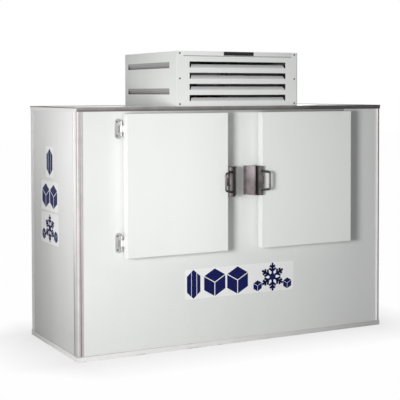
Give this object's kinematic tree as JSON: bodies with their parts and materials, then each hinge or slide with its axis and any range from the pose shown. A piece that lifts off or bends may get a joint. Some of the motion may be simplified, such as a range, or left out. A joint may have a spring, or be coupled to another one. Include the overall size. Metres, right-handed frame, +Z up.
{
  "type": "ice merchandiser freezer",
  "caption": "Free-standing insulated ice merchandiser with twin solid swing doors, pull latches and a louvred refrigeration unit on the roof.",
  "frame": {"origin": "on the floor at the centre of the cabinet's footprint", "axes": "+X to the viewer's right facing the doors, +Y to the back, +Z up"},
  "size_m": [2.388, 1.0641, 2.006],
  "materials": {
    "base_steel": "galvanised channels with a dull coat",
    "foam": null,
    "liner_steel": "galvanised liner sheet",
    "white_enamel": "smooth white baked enamel on sheet steel",
    "unit_enamel": "white baked enamel",
    "trim_aluminium": "mill finish extrusion with fine grooves",
    "jamb_plastic": "white moulded plastic",
    "hinge_chrome": "polished chrome plate",
    "latch_pewter": "dark nickel-plated casting",
    "pull_steel": "dull plated steel",
    "screw_steel": "zinc-plated pan heads",
    "galvanised": "galvanised sheet",
    "plate_black": "blank black plate",
    "compressor_black": "black stove enamel",
    "coil_fins": "aluminium fins on copper tube",
    "shroud_plastic": "black moulded plastic",
    "motor_grey": "dark painted motor shell",
    "fan_plastic": "dark moulded plastic",
    "copper": "copper tube",
    "rubber": "soft grey rubber",
    "drain_plastic": "clear grey hose"
  },
  "bodies": {
    "cabinet": {"base_frame": "base_steel", "floor_insulation": "foam", "floor_pan": "liner_steel", "wall_insulation": "foam", "front_insulation": "foam", "roof_insulation": "foam", "inner_liner": "liner_steel", "left_outer_skin": "white_enamel", "right_outer_skin": "white_enamel", "back_outer_skin": "white_enamel", "front_outer_skin": "white_enamel", "roof_skin": "white_enamel", "corner_trims": "trim_aluminium", "top_rail": "trim_aluminium", "left_door_frame": "jamb_plastic", "right_door_frame": "jamb_plastic", "hinge_frame_leaves": "hinge_chrome", "hinge_pins": "hinge_chrome", "left_strike": "latch_pewter", "right_strike": "latch_pewter", "panel_screws": "screw_steel", "unit_base": "galvanised", "roof_plug": "foam", "unit_left_panel": "unit_enamel", "unit_right_panel": "unit_enamel", "unit_back_panel": "unit_enamel", "unit_front_panel": "unit_enamel", "unit_lid": "unit_enamel", "unit_plate": "plate_black", "compressor": "compressor_black", "condenser_coil": "coil_fins", "condenser_shroud": "shroud_plastic", "condenser_motor": "motor_grey", "filter_drier": "copper", "refrigerant_lines": "copper", "electrical_box": "galvanised", "cable_gland": "rubber", "evaporator_housing": "unit_enamel", "evaporator_coil": "coil_fins", "evaporator_motor": "motor_grey", "drain_tube": "drain_plastic"},
    "left_door": {"left_door_skin": "white_enamel", "left_door_insulation": "foam", "left_door_liner": "jamb_plastic", "left_door_gasket": "rubber", "left_hinge_leaves": "hinge_chrome", "left_latch_body": "latch_pewter"},
    "right_door": {"right_door_skin": "white_enamel", "right_door_insulation": "foam", "right_door_liner": "jamb_plastic", "right_door_gasket": "rubber", "right_hinge_leaves": "hinge_chrome", "right_latch_body": "latch_pewter"},
    "left_handle": {"left_handle": "pull_steel"},
    "right_handle": {"right_handle": "pull_steel"},
    "left_bolt": {"left_bolt": "pull_steel"},
    "right_bolt": {"right_bolt": "pull_steel"},
    "condenser_fan": {"condenser_fan": "fan_plastic"},
    "evaporator_fan": {"evaporator_fan": "fan_plastic"}
  },
  "joints": [
    {"name": "left_door_hinge", "type": "hinge", "parent": "cabinet", "child": "left_door", "pos_m": [-0.897, -0.488, 1.123], "axis": [0, 0, -1], "range_deg": [0, 115]},
    {"name": "right_door_hinge", "type": "hinge", "parent": "cabinet", "child": "right_door", "pos_m": [0.897, -0.488, 1.123], "axis": [0, 0, 1], "range_deg": [0, 115]},
    {"name": "left_pull_pivot", "type": "hinge", "parent": "left_door", "child": "left_handle", "pos_m": [-0.111, -0.541, 1.123], "axis": [0, 0, 1], "range_deg": [0, 20], "stiffness_Nm_per_rad": 1.5},
    {"name": "right_pull_pivot", "type": "hinge", "parent": "right_door", "child": "right_handle", "pos_m": [0.111, -0.541, 1.123], "axis": [0, 0, -1], "range_deg": [0, 20], "stiffness_Nm_per_rad": 1.5},
    {"name": "left_bolt_slide", "type": "slide", "parent": "left_door", "child": "left_bolt", "axis": [-1, 0, 0], "range_m": [0, 0.01]},
    {"name": "right_bolt_slide", "type": "slide", "parent": "right_door", "child": "right_bolt", "axis": [1, 0, 0], "range_m": [0, 0.01]},
    {"name": "condenser_fan_spin", "type": "hinge", "parent": "cabinet", "child": "condenser_fan", "pos_m": [0.15, -0.2715, 1.778], "axis": [0, 1, 0], "continuous": true},
    {"name": "evaporator_fan_spin", "type": "hinge", "parent": "cabinet", "child": "evaporator_fan", "pos_m": [0, -0.024, 1.46], "axis": [0, 1, 0], "continuous": true}
  ],
  "couplings": [
    {"joint": "left_bolt_slide", "follows": "left_pull_pivot", "m_per_rad": 0.0286},
    {"joint": "right_bolt_slide", "follows": "right_pull_pivot", "m_per_rad": 0.0286}
  ]
}
